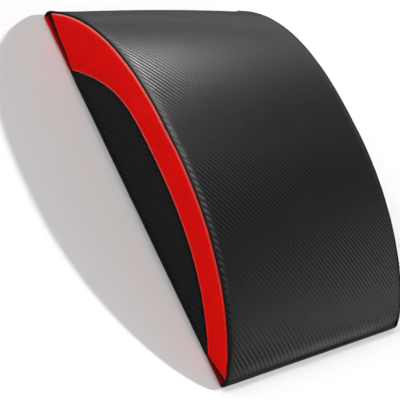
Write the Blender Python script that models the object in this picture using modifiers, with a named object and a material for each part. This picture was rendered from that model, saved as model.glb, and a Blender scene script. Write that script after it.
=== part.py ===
"""A contoured sit-up mat: a foam block in a sewn cover with coloured sides and a zip underneath.

Metres, +Z up. X runs across the mat, Y from the thin tip to the blunt tip, and the flat
underside lies on Z = 0 with the origin at its middle.
"""

import math

import bmesh
import bpy
import numpy as np
from mathutils import Vector

# Whole mat
LENGTH = 0.368
WIDTH = 0.305
SEAM_HEIGHT = 0.0669
COVER = 0.0016
CLEARANCE = 0.0003

# Side profile of the sewn seam, thin tip to blunt tip
PEAK_SHARE = 0.525
FRONT_TIP_ANGLE = math.radians(50.0)
REAR_TIP_ANGLE = math.radians(60.0)
FRONT_TIP_PULL_SHARE = 0.18
FRONT_PEAK_PULL_SHARE = 0.47
REAR_TIP_PULL_SHARE = 0.41
REAR_PEAK_PULL_SHARE = 0.23

# Sewn-in cords
EDGE_CORD_RADIUS = 0.0015
SIDE_CORD_RADIUS = 0.0014
FRONT_CORD_HEIGHT = 0.0046
REAR_CORD_HEIGHT = 0.0058

# Padding of the top panel above the seam
ROLL_WIDTH = 0.009
ROLL_RISE = 0.003
CROWN_RISE = 0.0012
TAPER_RUN = 0.020

# Foam block
CORE_SETBACK = 0.008

# Side panels
ARCH_HEIGHT = 0.0408
ARCH_FRONT_SHARE = 0.084
ARCH_REAR_SHARE = 0.840
ARCH_PEAK_SHARE = 0.549
ARCH_FRONT_ANGLE = math.radians(27.0)
ARCH_REAR_ANGLE = math.radians(46.0)
ARCH_FRONT_PULL_SHARE = 0.27
ARCH_REAR_PULL_SHARE = 0.46
ARCH_PEAK_PULL_SHARE = 0.50
CRESCENT_BULGE = 0.0026
INNER_BULGE = 0.0018
WELT_HEIGHT = 0.0024
WELT_BULGE = 0.0004
STRIP_BULGE = 0.0006
STRIP_SETBACK = 0.0016
STRIP_TOE = 0.0020
FRONT_STRIP_SHARE = 0.93
REAR_STRIP_SHARE = 0.80
CRESCENT_SETBACK = 0.0012
ARCH_SETBACK = 0.0040

# Underside
TURN_UP_RUN = 0.0032
TURN_UP_ARC_SHARE = 0.8
BEND_RADIUS = 0.0022

# Zip, from the floor up and from its middle outwards
ZIP_SETBACK = 0.060
ZIP_END_MARGIN = 0.020
FLOOR_GAP = 0.0006
BRIDGE_THICKNESS = 0.0008
BRIDGE_WIDTH = 0.0020
BRIDGE_HOLE = 0.0036
PIN_PLAY = 0.00035
PULL_THICKNESS = 0.0013
PULL_LENGTH = 0.022
PULL_WIDTH = 0.0072
PULL_ARM_WIDTH = 0.0013
PLATE_THICKNESS = 0.0010
SLIDER_LENGTH = 0.012
SLIDER_WIDTH = 0.0100
NOSE_WIDTH = 0.0076
POST_WIDTH = 0.0010
POST_LENGTH = 0.0036
TOOTH_THICKNESS = 0.0020
TOOTH_LENGTH = 0.0017
TOOTH_WIDTH = 0.0020
TOOTH_PITCH = 0.0040
SPINE_WIDTH = 0.0007
TAPE_THICKNESS = 0.0006
TAPE_OVERLAP = 0.0020
STOP_LENGTH = 0.0024
ZIP_SIDE_PLAY = 0.0008

# Counts
PROFILE_SAMPLES = 96
STATIONS = 32
STATION_EASE_SHARE = 0.7
ROLL_STEPS = 5
CROWN_STEPS = 6
CORE_ROLL_STEPS = 3
SIDE_ROWS = 5
ARCH_COLUMNS = 20
STRIP_COLUMNS = 4
BEND_STEPS = 4
CORD_BEVEL_STEPS = 2
PIN_SIDES = 16
PAD_ROUNDNESS = 2.5
PAD_SPAN_RATIO = 4.0
MERGE_DISTANCE = 0.00001

PART_NAME = "ab_mat"
CUTTERS_NAME = "ab_mat_cutters"
SIDES = {"left": -1, "right": 1}

# Worked out from the sizes above
HALF_LENGTH = LENGTH / 2
HALF_WIDTH = WIDTH / 2
PANEL_HALF_WIDTH = HALF_WIDTH - SIDE_CORD_RADIUS - CLEARANCE
BASE_HALF_WIDTH = HALF_WIDTH - COVER - CLEARANCE
LINING = COVER + CLEARANCE
FRONT_CORD_Y = -HALF_LENGTH + EDGE_CORD_RADIUS
REAR_CORD_Y = HALF_LENGTH - EDGE_CORD_RADIUS
ZIP_Y = HALF_LENGTH - ZIP_SETBACK
PIN_HEIGHT = FLOOR_GAP + BRIDGE_THICKNESS + PIN_PLAY + PULL_THICKNESS / 2
LOWER_PLATE_BOTTOM = PIN_HEIGHT + PULL_THICKNESS / 2 + PIN_PLAY
TEETH_BOTTOM = LOWER_PLATE_BOTTOM + PLATE_THICKNESS + CLEARANCE
TEETH_TOP = TEETH_BOTTOM + TOOTH_THICKNESS
TAPE_BOTTOM = (TEETH_BOTTOM + TEETH_TOP - TAPE_THICKNESS) / 2
UPPER_PLATE_BOTTOM = TEETH_TOP + CLEARANCE
GROOVE_TOP = UPPER_PLATE_BOTTOM + PLATE_THICKNESS + CLEARANCE
HEM_TOP = TAPE_BOTTOM - CLEARANCE
TEETH_INNER = POST_WIDTH / 2 + CLEARANCE
TEETH_OUTER = TEETH_INNER + TOOTH_LENGTH + SPINE_WIDTH
TAPE_INNER = TEETH_OUTER + CLEARANCE
HEM_INNER = SLIDER_WIDTH / 2 + ZIP_SIDE_PLAY
TAPE_OUTER = HEM_INNER + COVER + TAPE_OVERLAP
GROOVE_HALF_WIDTH = TAPE_OUTER + CLEARANCE
TAPE_HALF_LENGTH = BASE_HALF_WIDTH - CLEARANCE
TEETH_HALF_LENGTH = TAPE_HALF_LENGTH - ZIP_END_MARGIN
SLIDER_REST_X = -(TEETH_HALF_LENGTH - SLIDER_LENGTH / 2)
PULL_RING_WIDTH = BRIDGE_WIDTH + 2 * PIN_PLAY + 2 * PULL_ARM_WIDTH


def bezier(start, first, second, end, samples):
    """Points of one cubic curve in the side view, as (y, z) rows."""
    t = np.linspace(0, 1, samples)[:, None]
    a, b, c, d = (np.array(p) for p in (start, first, second, end))
    return (1 - t) ** 3 * a + 3 * (1 - t) ** 2 * t * b + 3 * (1 - t) * t**2 * c + t**3 * d


def hump(start, start_angle, start_pull, peak, peak_pulls, end, end_angle, end_pull):
    """A hump in the side view: up from start to a level peak and down to end."""
    rise = bezier(
        start,
        (start[0] + start_pull * math.cos(start_angle), start[1] + start_pull * math.sin(start_angle)),
        (peak[0] - peak_pulls[0], peak[1]),
        peak,
        PROFILE_SAMPLES,
    )
    fall = bezier(
        peak,
        (peak[0] + peak_pulls[1], peak[1]),
        (end[0] - end_pull * math.cos(end_angle), end[1] + end_pull * math.sin(end_angle)),
        end,
        PROFILE_SAMPLES,
    )
    return np.vstack([rise, fall[1:]])


def tip_point(cord_y, cord_height, angle, direction):
    """Where the top panel starts beside an edge cord, with its end centred on the cord."""
    along = np.array([direction * math.cos(angle), math.sin(angle)])
    out = np.array([-direction * math.sin(angle), math.cos(angle)])
    reach = EDGE_CORD_RADIUS + CLEARANCE
    return np.array([cord_y, cord_height]) + reach * along + COVER / 2 * out


def seam_curve():
    """The side seam in the side view, from the thin tip to the blunt tip."""
    front = tip_point(FRONT_CORD_Y, FRONT_CORD_HEIGHT, FRONT_TIP_ANGLE, 1)
    rear = tip_point(REAR_CORD_Y, REAR_CORD_HEIGHT, REAR_TIP_ANGLE, -1)
    peak = np.array([PEAK_SHARE * LENGTH - HALF_LENGTH, SEAM_HEIGHT])
    front_run = peak[0] - front[0]
    rear_run = rear[0] - peak[0]
    pulls = (FRONT_PEAK_PULL_SHARE * front_run, REAR_PEAK_PULL_SHARE * rear_run)
    return hump(
        front,
        FRONT_TIP_ANGLE,
        FRONT_TIP_PULL_SHARE * front_run,
        peak,
        pulls,
        rear,
        REAR_TIP_ANGLE,
        REAR_TIP_PULL_SHARE * rear_run,
    )


def arch_curve():
    """The seam between the coloured crescent and the dark inner panel."""
    front = np.array([ARCH_FRONT_SHARE * LENGTH - HALF_LENGTH, WELT_HEIGHT])
    rear = np.array([ARCH_REAR_SHARE * LENGTH - HALF_LENGTH, WELT_HEIGHT])
    peak = np.array([ARCH_PEAK_SHARE * LENGTH - HALF_LENGTH, ARCH_HEIGHT])
    front_run = peak[0] - front[0]
    rear_run = rear[0] - peak[0]
    pulls = (ARCH_PEAK_PULL_SHARE * front_run, ARCH_PEAK_PULL_SHARE * rear_run)
    return hump(
        front,
        ARCH_FRONT_ANGLE,
        ARCH_FRONT_PULL_SHARE * front_run,
        peak,
        pulls,
        rear,
        ARCH_REAR_ANGLE,
        ARCH_REAR_PULL_SHARE * rear_run,
    )


def distances(curve):
    """The distance along a curve at each of its points."""
    steps = np.linalg.norm(np.diff(curve, axis=0), axis=1)
    return np.concatenate([[0], np.cumsum(steps)])


def normals(curve):
    """The upward unit normal at each point of a curve in the side view."""
    slope = np.gradient(curve, axis=0)
    slope /= np.linalg.norm(slope, axis=1)[:, None]
    return np.stack([-slope[:, 1], slope[:, 0]], axis=1)


def at_distance(values, along, places):
    """Rows of values read at given distances along their curve."""
    return np.stack([np.interp(places, along, values[:, k]) for k in range(2)], axis=1)


def height_over(curve, y):
    """The height of a curve in the side view over one place along the mat."""
    return float(np.interp(y, curve[:, 0], curve[:, 1]))


def station_shares():
    """Shares of the seam's length, closer together towards the tips."""
    even = np.linspace(0, 1, STATIONS + 1)
    eased = (1 - np.cos(math.pi * even)) / 2
    return (1 - STATION_EASE_SHARE) * even + STATION_EASE_SHARE * eased


SEAM = seam_curve()
SEAM_ALONG = distances(SEAM)
SEAM_NORMALS = normals(SEAM)
SEAM_LENGTH = float(SEAM_ALONG[-1])
BELOW_CORD = SEAM - (SIDE_CORD_RADIUS + CLEARANCE) * SEAM_NORMALS
ARCH = arch_curve()


def new_collection(name):
    group = bpy.data.collections.new(name)
    bpy.context.scene.collection.children.link(group)
    return group


def clear_scene():
    for item in list(bpy.data.objects):
        bpy.data.objects.remove(item, do_unlink=True)


def make_material(name, colour, roughness, metallic=0.0):
    material = bpy.data.materials.new(name)
    material.use_nodes = True
    shader = material.node_tree.nodes["Principled BSDF"]
    shader.inputs["Base Color"].default_value = (*colour, 1.0)
    shader.inputs["Roughness"].default_value = roughness
    shader.inputs["Metallic"].default_value = metallic
    return material


def make_materials():
    return {
        "ribbed": make_material("ribbed_vinyl", (0.035, 0.035, 0.037), 0.45),
        "red": make_material("red_vinyl", (0.58, 0.006, 0.003), 0.40),
        "dark": make_material("dark_vinyl", (0.012, 0.012, 0.013), 0.50),
        "cord": make_material("cord_vinyl", (0.006, 0.006, 0.006), 0.35),
        "foam": make_material("grey_foam", (0.20, 0.20, 0.21), 0.95),
        "tape": make_material("zip_tape", (0.015, 0.015, 0.016), 0.85),
        "teeth": make_material("zip_teeth", (0.02, 0.02, 0.021), 0.35),
        "metal": make_material("zip_metal", (0.05, 0.05, 0.055), 0.30, 1.0),
    }


def add_object(name, mesh, material, group):
    item = bpy.data.objects.new(name, mesh)
    group.objects.link(item)
    mesh.materials.clear()
    mesh.materials.append(material)
    return item


def mesh_from(name, bm):
    mesh = bpy.data.meshes.new(name)
    bm.to_mesh(mesh)
    bm.free()
    return mesh


def smooth(item, angle):
    item.data.shade_smooth()
    item.data.set_sharp_from_angle(angle=angle)


def grid_on(points):
    """A grid of faces laid on rows of points."""
    across = len(points) - 1
    along = len(points[0]) - 1
    bm = bmesh.new()
    bmesh.ops.create_grid(bm, x_segments=across, y_segments=along, size=0.5)
    for vertex in bm.verts:
        i = round((vertex.co.x + 0.5) * across)
        j = round((vertex.co.y + 0.5) * along)
        vertex.co = points[i][j]
    return bm


def sheet(name, points, material, group, flip=False):
    """A padded sheet: a grid laid on rows of points, thickened inwards to the cover's wall."""
    bm = grid_on(points)
    if flip:
        bmesh.ops.reverse_faces(bm, faces=bm.faces)
    item = add_object(name, mesh_from(name, bm), material, group)
    smooth(item, math.radians(40.0))
    wall = item.modifiers.new("wall", "SOLIDIFY")
    wall.thickness = COVER
    wall.offset = -1
    wall.use_even_offset = True
    return item


def across_points(steps_used, inset):
    """Places across the top panel and their rise over the seam, inset along the surface normal."""
    centre = PANEL_HALF_WIDTH - ROLL_WIDTH
    half = []
    for step in range(1, steps_used + 1):
        turn = math.pi / 2 * step / ROLL_STEPS
        lean = Vector((math.sin(turn) / ROLL_WIDTH, math.cos(turn) / ROLL_RISE)).normalized()
        x = centre + ROLL_WIDTH * math.sin(turn) - inset * lean.x
        half.append((x, ROLL_RISE * math.cos(turn), -inset * lean.y))
    flat = []
    for x in np.linspace(-centre, centre, CROWN_STEPS + 1):
        flat.append((x, ROLL_RISE + CROWN_RISE * (1 - (x / centre) ** 2), -inset))
    return [(-x, rise, shift) for x, rise, shift in reversed(half)] + flat + half


def top_points(along_places, steps_used, inset):
    """Rows of points of the top surface, or of one inset under it."""
    middle = at_distance(SEAM, SEAM_ALONG, along_places)
    out = at_distance(SEAM_NORMALS, SEAM_ALONG, along_places)
    rows = []
    for x, rise, shift in across_points(steps_used, inset):
        row = []
        for place, point, normal in zip(along_places, middle, out):
            edge = min(place, SEAM_LENGTH - place) / TAPER_RUN
            taper = 1 - max(0, 1 - edge) ** 2
            y, z = point + normal * (rise * taper + shift)
            row.append(Vector((x, y, z)))
        rows.append(row)
    return rows


def make_top_panel(material, group):
    places = station_shares() * SEAM_LENGTH
    return sheet("top_panel", top_points(places, ROLL_STEPS, 0), material, group)


def make_foam_core(material, group, cutters):
    """The foam block under the top panel, flat below, with a groove for the zip."""
    places = station_shares() * SEAM_LENGTH
    inner = [p for p in places if CORE_SETBACK < p < SEAM_LENGTH - CORE_SETBACK]
    places = np.array([CORE_SETBACK, *inner, SEAM_LENGTH - CORE_SETBACK])
    points = top_points(places, CORE_ROLL_STEPS, LINING)
    bm = grid_on(points)
    rim = [edge for edge in bm.edges if edge.is_boundary]
    skirt = bmesh.ops.extrude_edge_only(bm, edges=rim)["geom"]
    widen = BASE_HALF_WIDTH / points[-1][0].x
    for vertex in (v for v in skirt if isinstance(v, bmesh.types.BMVert)):
        vertex.co.x *= widen
        vertex.co.z = LINING
    base = [edge for edge in bm.edges if edge.is_boundary]
    bmesh.ops.holes_fill(bm, edges=base)
    bmesh.ops.recalc_face_normals(bm, faces=bm.faces)
    item = add_object("foam_core", mesh_from("foam_core", bm), material, group)
    smooth(item, math.radians(40.0))
    groove = box_cutter("zip_groove", (WIDTH, 2 * GROOVE_HALF_WIDTH, 2 * GROOVE_TOP), (0, ZIP_Y, 0), cutters)
    boolean(item, groove, "DIFFERENCE")
    return item


def side_point(side, y, z, out):
    return Vector((side * (HALF_WIDTH + out), y, z))


def side_sheet(name, side, lower, upper, bulge, rows, material, group):
    """A panel on one side of the mat, ruled from its lower to its upper edge and padded outwards."""
    points = []
    for (y0, z0), (y1, z1) in zip(lower, upper):
        span = math.hypot(y1 - y0, z1 - z0)
        column = []
        for place in np.linspace(-1, 1, rows + 1):
            share = (1 + place) / 2
            lift = 1 - abs(place) ** PAD_ROUNDNESS
            out = lift * bulge * min(1, span / (PAD_SPAN_RATIO * bulge))
            column.append(side_point(side, y0 + (y1 - y0) * share, z0 + (z1 - z0) * share, out))
        points.append(column)
    return sheet(name, points, material, group, flip=side < 0)


def strip_tip(direction):
    """Where a corner strip's upper edge meets the tip of the mat: its place and height."""
    if direction < 0:
        y = FRONT_CORD_Y + EDGE_CORD_RADIUS + STRIP_SETBACK
        share = FRONT_STRIP_SHARE
    else:
        y = REAR_CORD_Y - EDGE_CORD_RADIUS - STRIP_SETBACK
        share = REAR_STRIP_SHARE
    return np.array([y, height_over(BELOW_CORD, y) * share])


def crease_edge(direction):
    """Points on the crease above a corner strip, from the arch to the tip."""
    start = ARCH[0] if direction < 0 else ARCH[-1]
    end = strip_tip(direction)
    shares = np.linspace(0, 1, STRIP_COLUMNS + 1)[:, None]
    return start + (end - start) * shares


def arch_edges():
    """The arch seam as two edges, one for the panel over it and one for the panel under it."""
    along = distances(ARCH)
    places = np.linspace(ARCH_SETBACK, along[-1] - ARCH_SETBACK, ARCH_COLUMNS + 1)
    middle = at_distance(ARCH, along, places)
    out = at_distance(normals(ARCH), along, places)
    over = middle + out * CLEARANCE / 2
    under = middle - out * CLEARANCE / 2
    return over, under


def crescent_edges():
    """Lower and upper edges of the coloured crescent."""
    lift = np.array([0, CLEARANCE])
    setback = np.array([CRESCENT_SETBACK, 0])
    over, _ = arch_edges()
    front = crease_edge(-1)[::-1] + lift
    rear = crease_edge(1) + lift
    front[0] += setback
    rear[-1] -= setback
    lower = np.vstack([front, over, rear])
    upper = np.array([[y, height_over(BELOW_CORD, y)] for y in lower[:, 0]])
    return lower, upper


def inner_panel_edges():
    """Lower and upper edges of the dark panel inside the arch."""
    _, upper = arch_edges()
    lower = upper.copy()
    lower[:, 1] = WELT_HEIGHT + CLEARANCE
    return lower, upper


def strip_edges(direction):
    """Lower and upper edges of a corner strip, with its toe reaching under the edge cord."""
    upper = crease_edge(direction) - np.array([0, CLEARANCE])
    lower = upper.copy()
    lower[:, 1] = CLEARANCE
    upper[0, 0] += direction * CLEARANCE
    lower[0, 0] += direction * CLEARANCE
    lower[-1, 0] += direction * STRIP_TOE
    return lower, upper


def in_row(lower, upper):
    """Edges put in order along the mat, so that the panel faces out."""
    if lower[0, 0] > lower[-1, 0]:
        return lower[::-1], upper[::-1]
    return lower, upper


def make_side(word, side, materials, group):
    """All the sewn pieces on one side of the mat."""
    lower, upper = crescent_edges()
    side_sheet(word + "_crescent", side, lower, upper, CRESCENT_BULGE, SIDE_ROWS, materials["red"], group)
    lower, upper = inner_panel_edges()
    side_sheet(word + "_inner_panel", side, lower, upper, INNER_BULGE, SIDE_ROWS, materials["dark"], group)
    ends = np.array([ARCH[0, 0], ARCH[-1, 0]])
    lower = np.stack([ends, np.full(2, CLEARANCE)], axis=1)
    upper = np.stack([ends, np.full(2, WELT_HEIGHT)], axis=1)
    side_sheet(word + "_base_welt", side, lower, upper, WELT_BULGE, 2, materials["cord"], group)
    for end, direction in (("front", -1), ("rear", 1)):
        lower, upper = in_row(*strip_edges(direction))
        name = end + "_" + word + "_corner_strip"
        side_sheet(name, side, lower, upper, STRIP_BULGE, 2, materials["red"], group)


def cord(name, points, radius, material, group):
    """A sewn-in cord: a tube with closed ends along a row of points."""
    curve = bpy.data.curves.new(name, "CURVE")
    curve.dimensions = "3D"
    curve.bevel_depth = radius
    curve.bevel_resolution = CORD_BEVEL_STEPS
    curve.use_fill_caps = True
    spline = curve.splines.new("POLY")
    spline.points.add(len(points) - 1)
    for target, point in zip(spline.points, points):
        target.co = (*point, 1)
    item = bpy.data.objects.new(name, curve)
    group.objects.link(item)
    curve.materials.append(material)
    return item


def make_cords(material, group):
    """The cord in each curved side seam and in each edge across the mat."""
    reach = HALF_WIDTH + SIDE_CORD_RADIUS
    for name, y, z in (
        ("front_edge_cord", FRONT_CORD_Y, FRONT_CORD_HEIGHT),
        ("rear_edge_cord", REAR_CORD_Y, REAR_CORD_HEIGHT),
    ):
        cord(name, [(-reach, y, z), (reach, y, z)], EDGE_CORD_RADIUS, material, group)
    apart = EDGE_CORD_RADIUS + SIDE_CORD_RADIUS + CLEARANCE
    places = station_shares() * SEAM_LENGTH
    inner = [p for p in places if apart < p < SEAM_LENGTH - apart]
    places = np.array([apart, *inner, SEAM_LENGTH - apart])
    line = at_distance(SEAM, SEAM_ALONG, places)
    for word, side in SIDES.items():
        points = [(side * HALF_WIDTH, y, z) for y, z in line]
        cord(word + "_side_cord", points, SIDE_CORD_RADIUS, material, group)


def quarter(centre, radii, start, end):
    """Points of an elliptical arc in the side view, between two angles."""
    points = []
    for step in range(BEND_STEPS + 1):
        turn = math.radians(start + (end - start) * step / BEND_STEPS)
        points.append((centre[0] + radii[0] * math.cos(turn), centre[1] + radii[1] * math.sin(turn)))
    return points


def underside_outline(tip, cord_height, hem, direction):
    """The outer face of an underside panel from its turned-up tip to its hem at the zip."""
    rise = cord_height - EDGE_CORD_RADIUS - CLEARANCE
    arc = rise * TURN_UP_ARC_SHARE
    nose = (tip - direction * TURN_UP_RUN, arc)
    bend = (hem + direction * BEND_RADIUS, BEND_RADIUS)
    points = [(tip, rise)]
    points += quarter(nose, (direction * TURN_UP_RUN, arc), 0, -90)
    points += quarter(bend, (-direction * BEND_RADIUS, BEND_RADIUS), -90, 0)
    points.append((hem, HEM_TOP))
    return points


def make_underside(name, outline, flip, material, group):
    rows = []
    for x in (-BASE_HALF_WIDTH, BASE_HALF_WIDTH):
        rows.append([Vector((x, y, z)) for y, z in outline])
    return sheet(name, rows, material, group, flip=flip)


def make_undersides(material, group):
    """The two flat panels underneath, each turned up at its tip and hemmed at the zip."""
    front = underside_outline(-HALF_LENGTH, FRONT_CORD_HEIGHT, ZIP_Y - HEM_INNER, -1)
    rear = underside_outline(HALF_LENGTH, REAR_CORD_HEIGHT, ZIP_Y + HEM_INNER, 1)
    make_underside("underside_front_panel", front, True, material, group)
    make_underside("underside_rear_panel", rear, False, material, group)


def cube_mesh(name, size):
    bm = bmesh.new()
    bmesh.ops.create_cube(bm, size=1)
    bmesh.ops.scale(bm, vec=size, verts=bm.verts)
    return mesh_from(name, bm)


def box(name, size, place, material, group):
    item = add_object(name, cube_mesh(name, size), material, group)
    item.location = place
    return item


def as_cutter(item):
    item.hide_render = True
    item.display_type = "WIRE"
    return item


def box_cutter(name, size, place, cutters):
    item = bpy.data.objects.new(name, cube_mesh(name, size))
    item.location = place
    cutters.objects.link(item)
    return as_cutter(item)


def boolean(item, tool, operation):
    change = item.modifiers.new(tool.name, "BOOLEAN")
    change.operation = operation
    change.object = tool
    change.solver = "EXACT"


def plate(name, outline, bottom, thickness, group):
    """A flat plate cut to an outline in the X-Y plane, as a mesh object."""
    curve = bpy.data.curves.new(name, "CURVE")
    curve.dimensions = "2D"
    curve.fill_mode = "BOTH"
    curve.extrude = thickness / 2
    spline = curve.splines.new("POLY")
    spline.points.add(len(outline) - 1)
    for target, point in zip(spline.points, outline):
        target.co = (*point, 0, 1)
    spline.use_cyclic_u = True
    guide = bpy.data.objects.new(name + "_guide", curve)
    group.objects.link(guide)
    bpy.context.view_layer.update()
    mesh = bpy.data.meshes.new_from_object(guide.evaluated_get(bpy.context.evaluated_depsgraph_get()))
    bpy.data.objects.remove(guide, do_unlink=True)
    bm = bmesh.new()
    bm.from_mesh(mesh)
    bmesh.ops.remove_doubles(bm, verts=bm.verts, dist=MERGE_DISTANCE)
    bmesh.ops.translate(bm, verts=bm.verts, vec=(0, 0, bottom + thickness / 2))
    bm.to_mesh(mesh)
    bm.free()
    item = bpy.data.objects.new(name, mesh)
    group.objects.link(item)
    return item


def comb_outline(direction):
    """One row of zip teeth on its spine, as an outline about the zip's middle line."""
    count = int(2 * TEETH_HALF_LENGTH // TOOTH_PITCH)
    start = -count * TOOTH_PITCH / 2
    spine = TEETH_INNER + TOOTH_LENGTH
    points = [(start + count * TOOTH_PITCH, direction * TEETH_OUTER), (start, direction * TEETH_OUTER)]
    for tooth in range(count):
        left = start + tooth * TOOTH_PITCH + (TOOTH_PITCH - TOOTH_WIDTH) / 2
        right = left + TOOTH_WIDTH
        points.append((left, direction * spine))
        points.append((left, direction * TEETH_INNER))
        points.append((right, direction * TEETH_INNER))
        points.append((right, direction * spine))
    first = (start, direction * spine)
    last = (start + count * TOOTH_PITCH, direction * spine)
    points.insert(2, first)
    points.append(last)
    return points


def make_zip_rows(materials, group):
    """The two tapes with their teeth, and the two end stops."""
    for word, direction in (("front", -1), ("rear", 1)):
        teeth = plate(word + "_zip_teeth", comb_outline(direction), TEETH_BOTTOM, TOOTH_THICKNESS, group)
        teeth.location.y = ZIP_Y
        teeth.data.materials.append(materials["teeth"])
        width = TAPE_OUTER - TAPE_INNER
        place = (0, ZIP_Y + direction * (TAPE_INNER + width / 2), TAPE_BOTTOM + TAPE_THICKNESS / 2)
        box(word + "_zip_tape", (2 * TAPE_HALF_LENGTH, width, TAPE_THICKNESS), place, materials["tape"], group)
    for word, side in SIDES.items():
        x = side * (TEETH_HALF_LENGTH + CLEARANCE + STOP_LENGTH / 2)
        place = (x, ZIP_Y, TEETH_BOTTOM + TOOTH_THICKNESS / 2)
        size = (STOP_LENGTH, 2 * TEETH_OUTER, TOOTH_THICKNESS)
        stop = box(word + "_zip_stop", size, place, materials["metal"], group)
        soften(stop, CLEARANCE)


def soften(item, width):
    edge = item.modifiers.new("edges", "BEVEL")
    edge.width = width
    edge.segments = 1
    edge.limit_method = "ANGLE"


def slider_outline():
    """The slider's plate: square at its tail, drawn in to its nose."""
    half = SLIDER_LENGTH / 2
    wide = SLIDER_WIDTH / 2
    nose = NOSE_WIDTH / 2
    corner = (wide - nose) / 2
    return [
        (-half, -nose),
        (-half + corner, -wide + corner),
        (0, -wide),
        (half - corner, -wide),
        (half, -wide + corner),
        (half, wide - corner),
        (half - corner, wide),
        (0, wide),
        (-half + corner, wide - corner),
        (-half, nose),
    ]


def make_slider(material, group, cutters):
    """Two plates over and under the teeth, a post between the rows and a bridge for the pull."""
    slider = plate("zip_slider", slider_outline(), LOWER_PLATE_BOTTOM, PLATE_THICKNESS, group)
    slider.data.materials.append(material)
    slider.location = (SLIDER_REST_X, ZIP_Y, 0)
    upper = plate("slider_upper_plate", slider_outline(), UPPER_PLATE_BOTTOM, PLATE_THICKNESS, cutters)
    upper.location = slider.location
    boolean(slider, as_cutter(upper), "UNION")
    post_bottom = LOWER_PLATE_BOTTOM + PLATE_THICKNESS / 2
    post_top = UPPER_PLATE_BOTTOM + PLATE_THICKNESS / 2
    size = (POST_LENGTH, POST_WIDTH, post_top - post_bottom)
    place = (SLIDER_REST_X, ZIP_Y, (post_bottom + post_top) / 2)
    boolean(slider, box_cutter("slider_post", size, place, cutters), "UNION")
    bridge_top = LOWER_PLATE_BOTTOM + PLATE_THICKNESS / 2
    size = (BRIDGE_HOLE + 2 * BRIDGE_THICKNESS, BRIDGE_WIDTH, bridge_top - FLOOR_GAP)
    place = (SLIDER_REST_X, ZIP_Y, (bridge_top + FLOOR_GAP) / 2)
    boolean(slider, box_cutter("slider_bridge", size, place, cutters), "UNION")
    hole_bottom = FLOOR_GAP + BRIDGE_THICKNESS
    size = (BRIDGE_HOLE, WIDTH, LOWER_PLATE_BOTTOM - hole_bottom)
    place = (SLIDER_REST_X, ZIP_Y, (LOWER_PLATE_BOTTOM + hole_bottom) / 2)
    boolean(slider, box_cutter("slider_bridge_hole", size, place, cutters), "DIFFERENCE")
    return slider


def window_end():
    """How far the pull's window reaches from its pin, to swing clear of the bridge."""
    corner = math.hypot(BRIDGE_HOLE / 2 + BRIDGE_THICKNESS, PIN_HEIGHT - FLOOR_GAP)
    return corner + PIN_PLAY


def pull_outline():
    """The pull tab seen from below, with its ring end at the hinge pin."""
    wide = PULL_WIDTH / 2
    ring = PULL_RING_WIDTH / 2
    neck = window_end() + PULL_THICKNESS
    return [
        (0, -ring),
        (neck, -ring),
        (neck + (wide - ring) * 2, -wide),
        (PULL_LENGTH - wide / 2, -wide),
        (PULL_LENGTH, -wide / 2),
        (PULL_LENGTH, wide / 2),
        (PULL_LENGTH - wide / 2, wide),
        (neck + (wide - ring) * 2, wide),
        (neck, ring),
        (0, ring),
    ]


def make_pull(material, group, cutters):
    """The pull tab: it swings on a pin held in the slider's bridge."""
    pull = plate("zip_pull", pull_outline(), -PULL_THICKNESS / 2, PULL_THICKNESS, group)
    pull.data.materials.append(material)
    pull.location = (SLIDER_REST_X, ZIP_Y, PIN_HEIGHT)
    bm = bmesh.new()
    bmesh.ops.create_cone(
        bm,
        cap_ends=True,
        segments=PIN_SIDES,
        radius1=PULL_THICKNESS / 2,
        radius2=PULL_THICKNESS / 2,
        depth=PULL_RING_WIDTH,
    )
    pin = bpy.data.objects.new("pull_pin", mesh_from("pull_pin", bm))
    pin.rotation_euler = (math.pi / 2, 0, 0)
    pin.location = pull.location
    cutters.objects.link(pin)
    boolean(pull, as_cutter(pin), "UNION")
    start = PULL_THICKNESS / 2
    end = window_end()
    size = (end - start, BRIDGE_WIDTH + 2 * PIN_PLAY, 2 * PULL_THICKNESS)
    place = (SLIDER_REST_X + (start + end) / 2, ZIP_Y, PIN_HEIGHT)
    boolean(pull, box_cutter("pull_window", size, place, cutters), "DIFFERENCE")
    return pull


def main():
    clear_scene()
    group = new_collection(PART_NAME)
    cutters = new_collection(CUTTERS_NAME)
    materials = make_materials()
    make_foam_core(materials["foam"], group, cutters)
    make_top_panel(materials["ribbed"], group)
    for word, side in SIDES.items():
        make_side(word, side, materials, group)
    make_cords(materials["cord"], group)
    make_undersides(materials["dark"], group)
    make_zip_rows(materials, group)
    make_slider(materials["metal"], group, cutters)
    make_pull(materials["metal"], group, cutters)


main()
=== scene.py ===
"""The looks of a contoured sit-up mat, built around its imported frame.

Metres, in the frame's own axes: X across the mat, Y from the thin tip to the blunt tip, Z up.
"""

import math

import bmesh
import bpy
import numpy as np
from mathutils import Matrix, Vector


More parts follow.
